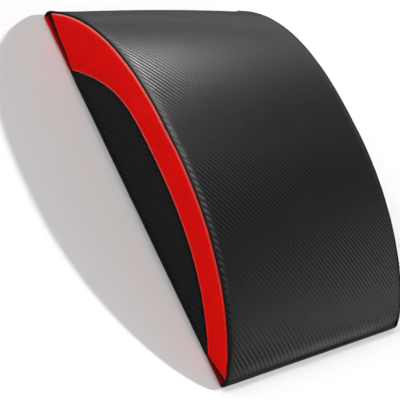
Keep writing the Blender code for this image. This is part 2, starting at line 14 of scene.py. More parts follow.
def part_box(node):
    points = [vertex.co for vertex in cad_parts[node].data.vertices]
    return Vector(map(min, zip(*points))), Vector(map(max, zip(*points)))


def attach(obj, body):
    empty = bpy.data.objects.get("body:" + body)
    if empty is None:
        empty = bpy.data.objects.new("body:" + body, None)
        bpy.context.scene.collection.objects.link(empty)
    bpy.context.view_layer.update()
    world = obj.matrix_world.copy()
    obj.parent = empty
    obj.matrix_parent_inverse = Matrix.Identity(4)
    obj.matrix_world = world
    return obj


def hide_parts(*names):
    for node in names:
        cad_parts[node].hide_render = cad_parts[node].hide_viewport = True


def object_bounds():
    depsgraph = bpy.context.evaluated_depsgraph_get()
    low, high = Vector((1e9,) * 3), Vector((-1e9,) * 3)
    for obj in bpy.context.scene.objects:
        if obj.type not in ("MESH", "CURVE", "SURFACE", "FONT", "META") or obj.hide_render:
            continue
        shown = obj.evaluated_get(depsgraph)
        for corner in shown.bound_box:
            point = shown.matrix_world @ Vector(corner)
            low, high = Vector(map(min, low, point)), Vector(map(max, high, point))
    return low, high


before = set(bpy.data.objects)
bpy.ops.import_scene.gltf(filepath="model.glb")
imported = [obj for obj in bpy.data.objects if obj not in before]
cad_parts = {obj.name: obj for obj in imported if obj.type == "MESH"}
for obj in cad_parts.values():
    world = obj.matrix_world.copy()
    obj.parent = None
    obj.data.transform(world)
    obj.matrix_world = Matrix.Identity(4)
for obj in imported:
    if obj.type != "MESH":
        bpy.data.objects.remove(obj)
CAD_LOW, CAD_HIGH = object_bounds()

# Sizes read from the frame
SIDE_CORD_LOW, SIDE_CORD_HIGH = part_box("right_side_cord")
FRONT_CORD_LOW, FRONT_CORD_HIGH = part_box("front_edge_cord")
REAR_CORD_LOW, REAR_CORD_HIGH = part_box("rear_edge_cord")
TEETH_LOW, TEETH_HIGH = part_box("rear_zip_teeth")
TAPE_LOW, TAPE_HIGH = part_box("rear_zip_tape")
SLIDER_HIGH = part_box("zip_slider")[1]
FRONT_BASE_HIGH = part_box("underside_front_panel")[1]
REAR_BASE_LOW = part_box("underside_rear_panel")[0]

LENGTH = CAD_HIGH.y - CAD_LOW.y
HALF_LENGTH = LENGTH / 2
HALF_WIDTH = (SIDE_CORD_LOW.x + SIDE_CORD_HIGH.x) / 2
FRONT_CORD_Y = (FRONT_CORD_LOW.y + FRONT_CORD_HIGH.y) / 2
REAR_CORD_Y = (REAR_CORD_LOW.y + REAR_CORD_HIGH.y) / 2
FRONT_CORD_Z = (FRONT_CORD_LOW.z + FRONT_CORD_HIGH.z) / 2
REAR_CORD_Z = (REAR_CORD_LOW.z + REAR_CORD_HIGH.z) / 2
EDGE_CORD_RADIUS = (FRONT_CORD_HIGH.z - FRONT_CORD_LOW.z) / 2
ZIP_Y = (FRONT_BASE_HIGH.y + REAR_BASE_LOW.y) / 2

# Side profile of the sewn seam, as in the solids
SEAM_HEIGHT = 0.0669
PEAK_SHARE = 0.525
TIP_ANGLES = (math.radians(50.0), math.radians(60.0))
TIP_PULL_SHARES = (0.18, 0.41)
PEAK_PULL_SHARES = (0.47, 0.23)
PROFILE_SAMPLES = 160
WALL = 0.0016
CLEARANCE = 0.0003

# Top of the cover
SHEET = 0.0012
SIDE_CORD_RADIUS = 0.0011
ROLL_WIDTH = 0.0036
ROLL_RISE = 0.0010
CROWN_RISE = 0.0024
TAPER_RUN = 0.020
TIP_OVERLAP = 0.0005
ROLL_STEPS = 6
TOP_COLUMNS = 30
TOP_ROWS = 110
ROW_EASE_SHARE = 0.5

# Side panels
ARCH_HEIGHT = 0.0408
ARCH_SHARES = (0.084, 0.549, 0.840)
ARCH_ANGLES = (math.radians(27.0), math.radians(46.0))
ARCH_TIP_PULL_SHARES = (0.27, 0.46)
ARCH_PEAK_PULL_SHARES = (0.50, 0.50)
BINDING_HEIGHT = 0.0030
CREASE_SHARES = (0.93, 0.80)
CREASE_SETBACK = 0.0016
STRIP_RECESS = 0.0016
SEAM_TUCK = 0.0016
INNER_TUCK = 0.0036
SEAM_GAP = 0.0002
SEAM_FAR = 1.0
PAD_SPAN_RATIO = 4.0
SIDE_ROWS = 12
ARCH_COLUMNS = 84
CREASE_COLUMNS = 12
SETBACK_COLUMNS = 3
STRIP_ROWS = 4

# How far each side panel bulges, and how wide its rolled edges are
CRESCENT_SHAPE = (0.0026, 0.0040)
INNER_SHAPE = (0.0014, 0.0030)
STRIP_SHAPE = (0.0007, 0.0010)
BINDING_SHAPE = (0.0009, BINDING_HEIGHT / 2)

# Puckers along the seams
PUCKER_DEPTH = 0.00022
PUCKER_REACH = 0.0045
PUCKER_PITCHES = (0.0066, 0.0101, 0.0173)
PUCKER_PHASE = 7

# Foam block
FOAM_INSET = 2 * SHEET
FOAM_TIP_SETBACK = 6 * FOAM_INSET
FOAM_ROLL_STEPS_LEFT_OUT = 2
FOAM_SMOOTH_ANGLE = math.radians(40)
PLACE_DIGITS = 6

# Underside
UNDERSIDE_REACH = 0.0012
UNDERSIDE_COLUMNS = 60
TURN_UP_RUN = 0.0032
BEND_RADIUS = 0.0022
BEND_STEPS = 6

# Tubes
CORD_ROUNDING = 3
THREAD_ROUNDING = 1
CAP_STEPS = 5
CAP_POINT_SHARE = 0.02

# Threads
THREAD_RADIUS = 0.00028
STITCH_PITCH = 0.0036
STITCH_LENGTH = 0.0026
HEM_STITCH_SETBACKS = (0.0042, 0.0090)

# Zip
COIL_PITCH = 0.0015
COIL_WIRE = 0.00027
COIL_POINTS = 10
COIL_OVERLAP = 0.0006
METAL_EDGE = 0.00022
METAL_EDGE_SEGMENTS = 3
WELD_DISTANCE = 1e-6
FLAT_ANGLE = math.radians(2)
METAL_SMOOTH_ANGLE = math.radians(35)

# Cloth simulation of the padded panels, with the pressure and the furthest move of each
PUFF_FRAMES = 18
PUFF_QUALITY = 5
PUFF_SLACK_SHARE = 0.004
LEAST_MOVE = 1e-12
CLOTH_MASS = 0.25
CLOTH_STRETCH = 25
CLOTH_SHEAR = 8
CLOTH_BEND = 0.8
TOP_PUFF = (0.7, 0.0003)
CRESCENT_PUFF = (3.0, 0.0012)
INNER_PUFF = (3.0, 0.0010)
STRIP_PUFF = (2.0, 0.0004)
BINDING_PUFF = (0.5, 0.0002)
ALONG_X, ALONG_Y = 0, 1

# Twill embossed into the black vinyl: two tows up and two down
TOW = 0.00163
TWILL_REPEAT = 4.0
FLOAT_TOWS = 2.0
TOW_CROWN_SHARE = 0.6
FLOAT_FULLNESS = 0.7
WALE_SHIFT = 3.5

# Black vinyls: colour and roughness of warp and weft, depth of the floats and of the wales
TOP_COLOURS = ((0.0030, 0.0030, 0.0032), (0.0020, 0.0020, 0.0022))
TOP_ROUGHNESS = (0.29, 0.36)
TOP_RELIEF = (0.00008, 0.00036)
TOP_SPECULAR = 0.18
DARK_COLOURS = ((0.0065, 0.0065, 0.0068), (0.0042, 0.0042, 0.0044))
DARK_ROUGHNESS = (0.42, 0.60)
DARK_RELIEF = (0.00014, 0.00030)
VINYL_SPECULAR = 0.14
CORD_BLACK = (0.003, 0.003, 0.003)
CORD_ROUGHNESS = (0.46, 0.58)

# Where the vinyl is duller: near its seams, and where it is seen at a slant
DULL_REACH = 0.007
DULL_RISE = 0.30
TOP_SLANT_BAND = (0.72, 0.92)
SIDE_SLANT_BAND = (0.50, 0.75)
SLANT_RISE = 0.60

# Reds of the crescents and the corner strips, with painted shade and painted highlights among them,
# and how far from a seam each band of them runs
FULL_RED = (0.69, 0.0015, 0.0004)
# Painted shade: the corner strips' red at the thin tip, darker than the crescents
SHADED_DEEP_RED = (0.28, 0.0015, 0.0010)
# Painted shade: maroon below the creases of the corner strips
SHADED_MAROON = (0.075, 0.0005, 0.0005)
# Painted shade: near black in the seams and right under the strips' creases
SEAM_SHADE_RED = (0.008, 0.0005, 0.0005)
# Painted highlight along the crescents' edges, pale pink at the blunt tip and faint at the thin tip
FRONT_HIGHLIGHT_RED = (0.66, 0.010, 0.006)
REAR_HIGHLIGHT_RED = (0.88, 0.22, 0.18)
RED_WEAR = 0.9
RED_ROUGHNESS = (0.27, 0.37)
RED_SPECULAR = 0.06
# How far from a seam the painted seam shade and the painted edge highlight run
SEAM_SHADE_BAND = (0.0001, 0.0005)
HIGHLIGHT_BAND = (0.0004, 0.0026)
STRIP_HEIGHT = 0.01
# How far below a strip's crease its near-black and its maroon painted shade run
CREASE_SHADE_BAND = (0.0026, 0.0036)
MAROON_SHADE_BAND = (0.0046, 0.0085)

# Sizes of the marks in the materials, with their depth where they are relief
VINYL_GRAIN = (0.0004, 0.00002)
VINYL_PATCHES = 0.03
PATCH_ROUGHNESS = 0.03
RED_PATCHES = (0.02, 0.0003)
RED_PORES = (0.0007, 0.00003)
RED_STAINS = 0.008
CORD_CREASES = (0.0018, 0.00012)
CORD_PORES = (0.0005, 0.00002)
CORD_STAINS = 0.006
TAPE_TOW = 0.0005
TAPE_RELIEF = 0.00010
COIL_STAINS = 0.002
METAL_WEAR = 0.0015
METAL_GRAIN = (0.0004, 0.000015)
THREAD_STRANDS = (0.0003, 0.00006)
FOAM_PORES = (0.0011, 0.0004)
FINE_DETAIL = 4.0
DETAIL = 3.0
PLAIN_DETAIL = 2.0

# Zip, thread and foam: two tones that mix, and a roughness with the specular level or a range
TAPE_TONES = ((0.008, 0.008, 0.009), (0.014, 0.014, 0.015))
TAPE_SHINE = (0.8, 0.3)
COIL_BLACK = (0.014, 0.014, 0.015)
COIL_ROUGHNESS = (0.24, 0.38)
METAL_TONES = ((0.035, 0.035, 0.04), (0.065, 0.065, 0.07))
METAL_ROUGHNESS = (0.20, 0.40)
THREAD_BLACK = (0.010, 0.010, 0.010)
THREAD_SHINE = (0.6, 0.4)
FOAM_TONES = ((0.14, 0.14, 0.145), (0.24, 0.24, 0.25))
FOAM_SHINE = (0.95, 0.2)

# Places of the colours among the sockets of a Mix node
MIX_FIRST, MIX_SECOND, MIX_RESULT = 6, 7, 2

# The photograph's camera
CAMERA_PLACE = Vector((-1.2304, -0.2969, 0.7900))
CAMERA_RIGHT = Vector((0.5731, -0.4297, 0.6978))
CAMERA_UP = Vector((0.0982, 0.8814, 0.4621))
CAMERA_LENS_MM = 141.8
CAMERA_SENSOR_MM = 36.0

# Floor, open under the mat up to a margin
FLOOR_SHADE = 0.89
FLOOR_ROUGHNESS = 0.9
FLOOR_REACH = 100.0
FLOOR_MARGIN = 0.006

# Studio lights: name, direction towards the light, softness in degrees, share of full light
WORLD_LEVEL = 0.14
SUNS = [
    ("key_light", (0.87, -0.05, 0.49), 2.0, 1.04),
    ("rear_light", (0.0, 0.6, 0.78), 12, 0.22),
    ("left_light", (-0.74, 0.50, 0.45), 25, 0.60),
    ("front_light", (0.80, -0.43, 0.41), 32, 0.11),
    ("under_light", (-0.15, 0.45, -0.88), 60, 1.0),
]
SHEEN_LAMP_TARGET = Vector((-0.12, 0.09, 0.064))
SHEEN_LAMP_PLACE = Vector((0.91, 1.27, 2.22))
SHEEN_LAMP_SIZE = 0.80
SHEEN_LAMP_WATTS = 255.0

SIDES = {"left": -1, "right": 1}
ENDS = {"front": -1, "rear": 1}


def bezier(start, first, second, end):
    """Points of one cubic curve in the side view, as (y, z) rows."""
    t = np.linspace(0, 1, PROFILE_SAMPLES)[:, None]
    a, b, c, d = (np.array(point) for point in (start, first, second, end))
    return (1 - t) ** 3 * a + 3 * (1 - t) ** 2 * t * b + 3 * (1 - t) * t**2 * c + t**3 * d


def hump(start, peak, end, angles, tip_pulls, peak_pulls):
    """A hump in the side view: up from start to a level peak and down to end."""
    rise_run = peak[0] - start[0]
    fall_run = end[0] - peak[0]
    out = tip_pulls[0] * rise_run * np.array([math.cos(angles[0]), math.sin(angles[0])])
    back = tip_pulls[1] * fall_run * np.array([-math.cos(angles[1]), math.sin(angles[1])])
    before = peak - np.array([peak_pulls[0] * rise_run, 0])
    after = peak + np.array([peak_pulls[1] * fall_run, 0])
    rise = bezier(start, start + out, before, peak)
    fall = bezier(peak, after, end + back, end)
    return np.vstack([rise, fall[1:]])


def tip_point(cord, angle, direction):
    """Where the top panel starts beside an edge cord, with its end centred on the cord."""
    along = np.array([direction * math.cos(angle), math.sin(angle)])
    out = np.array([-direction * math.sin(angle), math.cos(angle)])
    return np.array(cord) + (EDGE_CORD_RADIUS + CLEARANCE) * along + WALL / 2 * out


def seam_curve():
    front = tip_point((FRONT_CORD_Y, FRONT_CORD_Z), TIP_ANGLES[0], 1)
    rear = tip_point((REAR_CORD_Y, REAR_CORD_Z), TIP_ANGLES[1], -1)
    peak = np.array([PEAK_SHARE * LENGTH - HALF_LENGTH, SEAM_HEIGHT])
    return hump(front, peak, rear, TIP_ANGLES, TIP_PULL_SHARES, PEAK_PULL_SHARES)


def arch_curve():
    front, peak, rear = (share * LENGTH - HALF_LENGTH for share in ARCH_SHARES)
    return hump(
        np.array([front, BINDING_HEIGHT]),
        np.array([peak, ARCH_HEIGHT]),
        np.array([rear, BINDING_HEIGHT]),
        ARCH_ANGLES,
        ARCH_TIP_PULL_SHARES,
        ARCH_PEAK_PULL_SHARES,
    )


def distances(curve):
    steps = np.linalg.norm(np.diff(curve, axis=0), axis=1)
    return np.concatenate([[0], np.cumsum(steps)])


def normals(curve):
    slope = np.gradient(curve, axis=0)
    slope /= np.linalg.norm(slope, axis=1)[:, None]
    return np.stack([-slope[:, 1], slope[:, 0]], axis=1)


def at_distance(values, along, places):
    return np.stack([np.interp(places, along, values[:, k]) for k in range(2)], axis=1)


def height_over(curve, y):
    return np.interp(y, curve[:, 0], curve[:, 1])


SEAM = seam_curve()
SEAM_ALONG = distances(SEAM)
SEAM_NORMALS = normals(SEAM)
SEAM_LENGTH = float(SEAM_ALONG[-1])
UNDER_CORD = SEAM - (SIDE_CORD_RADIUS - SEAM_GAP) * SEAM_NORMALS
ARCH = arch_curve()


def new_piece(name, data, material, body="mat"):
    """An object of the model, with its material, riding on its body."""
    piece = bpy.data.objects.new(name, data)
    bpy.context.scene.collection.objects.link(piece)
    data.materials.clear()
    data.materials.append(material)
    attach(piece, body)
    return piece


def grid_mesh(name, points, cloth, edge, pinned):
    """A grid of quads laid on rows of points, which remembers its place on the flat cloth."""
    across, along = points.shape[0] - 1, points.shape[1] - 1
    bm = bmesh.new()
    bmesh.ops.create_grid(bm, x_segments=across, y_segments=along, size=0.5)
    place = bm.verts.layers.float_vector.new("cloth")
    pin = bm.verts.layers.float.new("pin")
    for vertex in bm.verts:
        i = round((vertex.co.x + 0.5) * across)
        j = round((vertex.co.y + 0.5) * along)
        vertex.co = points[i, j]
        vertex[place] = (*cloth[i, j], edge[i, j])
        vertex[pin] = float(pinned[i, j])
    mesh = bpy.data.meshes.new(name)
    bm.to_mesh(mesh)
    bm.free()
    return mesh


def plain_grid(name, points, cloth):
    """A grid with no seam near and nothing pinned."""
    flat = np.zeros(points.shape[:2])
    return grid_mesh(name, points, cloth, flat + SEAM_FAR, flat)


def vertex_rows(mesh, source, field):
    """One vector for each vertex of a mesh, as rows."""
    values = np.zeros(len(mesh.vertices) * 3, np.float32)
    source.foreach_get(field, values)
    return values.reshape(-1, 3).astype(float)


def coordinates(mesh):
    return vertex_rows(mesh, mesh.vertices, "co")


def set_coordinates(mesh, values):
    mesh.vertices.foreach_set("co", values.astype(np.float32).ravel())
    mesh.update()


def evaluated_mesh(item):
    bpy.context.view_layer.update()
    graph = bpy.context.evaluated_depsgraph_get()
    return bpy.data.meshes.new_from_object(item.evaluated_get(graph))


def cloth_modifier(item, pressure):
    """A cloth under pressure, held where its mesh is pinned."""
    pins = item.vertex_groups.new(name="pins")
    for index, value in enumerate(item.data.attributes["pin"].data):
        if value.value > 0:
            pins.add([index], value.value, "REPLACE")
    cloth = item.modifiers.new("puff", "CLOTH")
    settings = cloth.settings
    settings.quality = PUFF_QUALITY
    settings.mass = CLOTH_MASS
    settings.tension_stiffness = CLOTH_STRETCH
    settings.compression_stiffness = CLOTH_STRETCH
    settings.shear_stiffness = CLOTH_SHEAR
    settings.bending_stiffness = CLOTH_BEND
    settings.vertex_group_mass = pins.name
    settings.shrink_min = -PUFF_SLACK_SHARE
    settings.use_pressure = True
    settings.uniform_pressure_force = pressure
    settings.effector_weights.gravity = 0
    cloth.point_cache.frame_start = 1
    cloth.point_cache.frame_end = PUFF_FRAMES
    return cloth


def puff(item, pressure, cap):
    """Swell a panel between its pinned seams with a short cloth simulation, applied to its mesh."""
    scene = bpy.context.scene
    rest = coordinates(item.data)
    cloth = cloth_modifier(item, pressure)
    for number in range(1, PUFF_FRAMES + 1):
        scene.frame_set(number)
    swollen = evaluated_mesh(item)
    shift = coordinates(swollen) - rest
    item.modifiers.remove(cloth)
    item.vertex_groups.clear()
    bpy.data.meshes.remove(swollen)
    scene.frame_set(1)
    length = np.linalg.norm(shift, axis=1) + LEAST_MOVE
    print(item.name, "moved at most", round(float(length.max()) * 1000, 2), "mm")
    shift *= (cap * np.tanh(length / cap) / length)[:, None]
    set_coordinates(item.data, rest + shift)


def subdivide(item):
    """One applied step of subdivision."""
    modifier = item.modifiers.new("fine", "SUBSURF")
    modifier.levels = modifier.render_levels = 1
    modifier.boundary_smooth = "PRESERVE_CORNERS"
    fine = evaluated_mesh(item)
    item.modifiers.remove(modifier)
    coarse = item.data
    item.data = fine
    bpy.data.meshes.remove(coarse)


def pucker(item, along_axis):
    """Small uneven hollows along the seams, where the stitches draw the vinyl in."""
    mesh = item.data
    place = vertex_rows(mesh, mesh.attributes["cloth"].data, "vector")
    normal = vertex_rows(mesh, mesh.vertex_normals, "vector")
    turns = 2 * math.pi * place[:, along_axis]
    wave = sum(np.sin(turns / pitch + PUCKER_PHASE * k) for k, pitch in enumerate(PUCKER_PITCHES))
    depth = PUCKER_DEPTH * (wave / len(PUCKER_PITCHES) + 1) / 2
    near = np.exp(-((place[:, 2] / PUCKER_REACH) ** 2))
    set_coordinates(mesh, coordinates(mesh) - normal * (depth * near)[:, None])


def thicken(item, thickness=SHEET):
    wall = item.modifiers.new("wall", "SOLIDIFY")
    wall.thickness = thickness
    wall.offset = -1
    wall.use_even_offset = False
    item.data.shade_smooth()


def panel(name, node, mesh, material, puffing, along_axis):
    """A sewn panel of the padded cover: puffed, refined, puckered and thickened."""
    piece = new_piece(name, mesh, material)
    puff(piece, *puffing)
    subdivide(piece)
    pucker(piece, along_axis)
    thicken(piece)
    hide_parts(node)


def seam_places(rows):
    """Distances along the seam, closer together towards the tips."""
    even = np.linspace(0, 1, rows + 1)
    eased = (1 - np.cos(math.pi * even)) / 2
    return ((1 - ROW_EASE_SHARE) * even + ROW_EASE_SHARE * eased) * SEAM_LENGTH


def across_profile():
    """Places across the top panel, as x and rise over the seam.

    With them come its half width, and how many places are tucked in at each side.
    """
    reach = HALF_WIDTH - SIDE_CORD_RADIUS + SEAM_GAP
    centre = reach - ROLL_WIDTH
    roll = []
    for step in range(1, ROLL_STEPS + 1):
        turn = math.pi / 2 * step / ROLL_STEPS
        roll.append((centre + ROLL_WIDTH * math.sin(turn), ROLL_RISE * math.cos(turn)))
    roll.append((reach - SEAM_TUCK / 4, -SEAM_TUCK / 2))
    roll.append((reach - SEAM_TUCK, -SEAM_TUCK))
    xs = np.linspace(-centre, centre, TOP_COLUMNS + 1)
    flat = [(x, ROLL_RISE + CROWN_RISE * (1 - (x / centre) ** 2)) for x in xs]
    profile = np.array([(-x, rise) for x, rise in reversed(roll)] + flat + roll)
    return profile, reach, len(roll) - ROLL_STEPS


def top_points(profile, places, inset=0.0):
    """Points of the top, or of a surface that lies deeper, flat at the tips."""
    middle = at_distance(SEAM, SEAM_ALONG, places)
    out = at_distance(SEAM_NORMALS, SEAM_ALONG, places)
    edge = np.minimum(places, SEAM_LENGTH - places) / TAPER_RUN
    taper = 1 - np.maximum(0, 1 - edge) ** 2
    points = np.zeros((len(profile), len(places), 3))
    for i, (x, rise) in enumerate(profile):
        points[i, :, 0] = x
        points[i, :, 1:] = middle + out * (rise * taper - inset)[:, None]
    return points


def make_top(material):
    profile, reach, tucked = across_profile()
    places = seam_places(TOP_ROWS)
    points = top_points(profile, places)
    for end, inner in ((0, 1), (-1, -2)):
        along = points[:, end] - points[:, inner]
        points[:, end] += along / np.linalg.norm(along, axis=1)[:, None] * TIP_OVERLAP
    cloth = np.stack(np.broadcast_arrays(profile[:, :1], places[None, :]), axis=2)
    tip_reach = np.minimum(places, SEAM_LENGTH - places)[None, :]
    edge = np.minimum(np.maximum(reach - np.abs(profile[:, :1]), 0), tip_reach)
    pinned = np.zeros(edge.shape)
    pinned[: tucked + 1] = pinned[-tucked - 1 :] = 1
    pinned[:, :1] = pinned[:, -1:] = 1
    mesh = grid_mesh("top_cover", points, cloth, edge, pinned)
    panel("top_cover", "top_panel", mesh, material, TOP_PUFF, ALONG_Y)


def roll_shape(distance, width):
    """How far out a padded panel stands, from 0 at a seam to 1 where its rolled edge ends."""
    return np.sqrt(1 - np.clip(1 - distance / width, 0, 1) ** 2)


def side_mesh(name, side, lower, upper, shape, rows, tuck=SEAM_TUCK, recess=0.0, unsewn=False):
    """A panel on one side of the mat, ruled between two edges, padded out and tucked in at both.

    It remembers its distance to the nearest seam. A recessed panel sinks towards its upper edge,
    and remembers the distance to that edge as if it were equally high all along. Where a panel
    is unsewn, it remembers the distance to its upper edge alone.
    """
    bulge, roll = shape
    shares = (1 - np.cos(np.linspace(0, math.pi, rows + 1))) / 2
    across = np.concatenate([[0], shares, [1]])
    count = len(lower)
    points = np.zeros((count, len(across), 3))
    cloth = np.zeros((count, len(across), 2))
    edge = np.zeros((count, len(across)))
    span = np.linalg.norm(upper - lower, axis=1)
    lift = bulge * np.minimum(1, span / (PAD_SPAN_RATIO * bulge))
    for j, share in enumerate(across):
        line = lower + (upper - lower) * share
        reach = np.minimum(share, 1 - share) * span
        out = lift * roll_shape(reach, np.minimum(roll, span / 2 + SEAM_GAP)) - recess * share
        if j in (0, len(across) - 1):
            out = -tuck * np.ones(count)
        points[:, j, 0] = side * (HALF_WIDTH + out)
        points[:, j, 1:] = line
        cloth[:, j, 0] = -side * line[:, 0]
        cloth[:, j, 1] = line[:, 1]
        # This distance places the painted seam shade and the painted edge highlight; on a recessed
        # strip it places the painted shade below its crease.
        from_top = (1 - share) * span
        edge[:, j] = (1 - share) * STRIP_HEIGHT if recess else np.where(unsewn, from_top, reach)
    pinned = np.zeros(edge.shape)
    pinned[:, :2] = pinned[:, -2:] = 1
    pinned[:1] = pinned[-1:] = 1
    if side < 0:
        points, cloth, edge, pinned = (values[::-1] for values in (points, cloth, edge, pinned))
    return grid_mesh(name, points, cloth, edge, pinned)


def crease(direction):
    """Points on the crease above a corner strip, from the arch to the tip."""
    start = ARCH[0] if direction < 0 else ARCH[-1]
    cord_y = FRONT_CORD_Y if direction < 0 else REAR_CORD_Y
    y = cord_y - direction * (EDGE_CORD_RADIUS + CREASE_SETBACK)
    share = CREASE_SHARES[0] if direction < 0 else CREASE_SHARES[1]
    end = np.array([y, height_over(UNDER_CORD, y) * share])
    return start + (end - start) * np.linspace(0, 1, CREASE_COLUMNS + 1)[:, None]


def arch_line():
    along = distances(ARCH)
    return at_distance(ARCH, along, np.linspace(0, along[-1], ARCH_COLUMNS + 1))


def make_crescent(word, side, material):
    """The coloured panel from the cord down to the arch and the creases."""
    line = arch_line()
    lift = SEAM_GAP * normals(line)
    front = crease(-1)[::-1] + np.array([0, SEAM_GAP])
    rear = crease(1) + np.array([0, SEAM_GAP])
    lower = np.vstack([front[:-1], line + lift, rear[1:]])
    upper = np.stack([lower[:, 0], height_over(UNDER_CORD, lower[:, 0])], axis=1)
    unsewn = np.full(len(lower), False)
    unsewn[:CREASE_COLUMNS] = unsewn[-CREASE_COLUMNS:] = True
    name = word + "_crescent_cover"
    mesh = side_mesh(name, side, lower, upper, CRESCENT_SHAPE, SIDE_ROWS, unsewn=unsewn)
    panel(name, word + "_crescent", mesh, material, CRESCENT_PUFF, ALONG_X)


def make_inner_panel(word, side, material):
    """The dark panel inside the arch."""
    line = arch_line()
    upper = line - SEAM_GAP * normals(line)
    upper[:, 1] = np.maximum(upper[:, 1], BINDING_HEIGHT)
    lower = np.stack([line[:, 0], np.full(len(line), BINDING_HEIGHT - SEAM_GAP)], axis=1)
    name = word + "_inner_cover"
    mesh = side_mesh(name, side, lower, upper, INNER_SHAPE, SIDE_ROWS, tuck=INNER_TUCK)
    panel(name, word + "_inner_panel", mesh, material, INNER_PUFF, ALONG_X)


def make_corner_strip(end, word, direction, side, material):
    """The coloured wedge under the crease at one tip."""
    upper = crease(direction) - np.array([0, SEAM_GAP])
    past = upper[-1, 0] + direction * np.linspace(SEAM_GAP, CREASE_SETBACK, SETBACK_COLUMNS)
    upper = np.vstack([upper, np.stack([past, height_over(UNDER_CORD, past)], axis=1)])
    lower = np.stack([upper[:, 0], np.full(len(upper), CLEARANCE)], axis=1)
    if direction < 0:
        lower, upper = lower[::-1], upper[::-1]
    name = end + "_" + word + "_corner_cover"
    node = end + "_" + word + "_corner_strip"
    mesh = side_mesh(name, side, lower, upper, STRIP_SHAPE, STRIP_ROWS, recess=STRIP_RECESS)
    panel(name, node, mesh, material, STRIP_PUFF, ALONG_X)


def make_binding(word, side, material):
    """The black binding along the base of the dark panel."""
    ys = np.linspace(ARCH[0, 0], ARCH[-1, 0], ARCH_COLUMNS + 1)
    lower = np.stack([ys, np.full(len(ys), CLEARANCE)], axis=1)
    upper = np.stack([ys, np.full(len(ys), BINDING_HEIGHT)], axis=1)
    name = word + "_base_binding"
    mesh = side_mesh(name, side, lower, upper, BINDING_SHAPE, STRIP_ROWS)
    panel(name, word + "_base_welt", mesh, material, BINDING_PUFF, ALONG_X)


def tube(name, lines, radius, material, rounding=CORD_ROUNDING):
    """Tubes along one or more rows of points, as one curve whose points carry the radius."""
    curve = bpy.data.curves.new(name, "CURVE")
    curve.dimensions = "3D"
    curve.bevel_depth = 1.0
    curve.bevel_resolution = rounding
    curve.use_fill_caps = True
    for line in lines:
        spline = curve.splines.new("POLY")
        spline.points.add(len(line) - 1)
        for target, point in zip(spline.points, line):
            target.co = (*point, 1)
            target.radius = radius
    return new_piece(name, curve, material)


def rounded_ends(item, radius):
    """Add the half-round end caps of each tube by stepping its radius down past its ends."""
    for spline in list(item.data.splines):
        line = [Vector(point.co[:3]) for point in spline.points]
        head = (line[0] - line[1]).normalized()
        tail = (line[-1] - line[-2]).normalized()
        turns = [math.pi / 2 * k / CAP_STEPS for k in range(1, CAP_STEPS + 1)]
        before = [(line[0] + head * radius * math.sin(t), math.cos(t)) for t in reversed(turns)]
        after = [(line[-1] + tail * radius * math.sin(t), math.cos(t)) for t in turns]
        rows = before + [(point, 1) for point in line] + after
        spline.points.add(len(rows) - len(line))
        for target, (point, share) in zip(spline.points, rows):
            target.co = (*point, 1)
            target.radius = radius * max(share, CAP_POINT_SHARE)


def make_cords(material):
    """The piping in the curved side seams and in the edge across each tip."""
    reach = FRONT_CORD_HIGH.x - EDGE_CORD_RADIUS
    for end, y, z in (("front", FRONT_CORD_Y, FRONT_CORD_Z), ("rear", REAR_CORD_Y, REAR_CORD_Z)):
        xs = np.linspace(-reach, reach, UNDERSIDE_COLUMNS + 1)
        line = [(x, y, z) for x in xs]
        piece = tube(end + "_edge_piping", [line], EDGE_CORD_RADIUS, material)
        rounded_ends(piece, EDGE_CORD_RADIUS)
        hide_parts(end + "_edge_cord")
    seam = at_distance(SEAM, SEAM_ALONG, seam_places(TOP_ROWS))
    for word, side in SIDES.items():
        line = [(side * HALF_WIDTH, y, z) for y, z in seam]
        piece = tube(word + "_side_piping", [line], SIDE_CORD_RADIUS, material)
        rounded_ends(piece, SIDE_CORD_RADIUS)
        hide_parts(word + "_side_cord")


def arc(centre, radii, start, end):
    """Points on a quarter of an ellipse, from one angle to another in degrees."""
    turns = [math.radians(start + (end - start) * k / BEND_STEPS) for k in range(BEND_STEPS + 1)]
    return [(centre[0] + radii[0] * math.cos(t), centre[1] + radii[1] * math.sin(t)) for t in turns]


def make_underside(end, direction, tip, rise, hem, hem_top, material):
    """A flat panel underneath, turned up at its tip and its sides and hemmed at the zip."""
    nose = (tip - direction * TURN_UP_RUN, rise)
    bend = (hem + direction * BEND_RADIUS, BEND_RADIUS)
    line = arc(nose, (direction * TURN_UP_RUN, rise), 0, -90)
    line += [(y, 0.0) for y in np.linspace(line[-1][0], bend[0], UNDERSIDE_COLUMNS)][1:-1]
    line += arc(bend, (-direction * BEND_RADIUS, BEND_RADIUS), -90, 0)
    line.append((hem, hem_top))
    line = np.array(line)
    reach = HALF_WIDTH - UNDERSIDE_REACH / 2
    xs = np.linspace(-reach, reach, UNDERSIDE_COLUMNS + 1)
    xs = np.concatenate([[-reach - UNDERSIDE_REACH / 4], xs, [reach + UNDERSIDE_REACH / 4]])
    points = np.zeros((len(xs), len(line), 3))
    points[:, :, 0] = xs[:, None]
    points[:, :, 1:] = line[None]
    points[[0, -1], :, 2] += UNDERSIDE_REACH / 2
    if direction < 0:
        points = points[::-1]
    cloth = np.stack([points[:, :, 1], points[:, :, 0]], axis=2)
    name = "underside_" + end + "_cover"
    piece = new_piece(name, plain_grid(name, points, cloth), material)
    thicken(piece)
    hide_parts("underside_" + end + "_panel")


def stitch_line(x, y):
    """One thread along X that stands out of the flat underside between two holes."""
    half = STITCH_LENGTH / 2
    ends = ((-half, THREAD_RADIUS), (-half / 2, -THREAD_RADIUS / 2))
    return [(x + run, y, z) for run, z in ends] + [(x - run, y, z) for run, z in reversed(ends)]


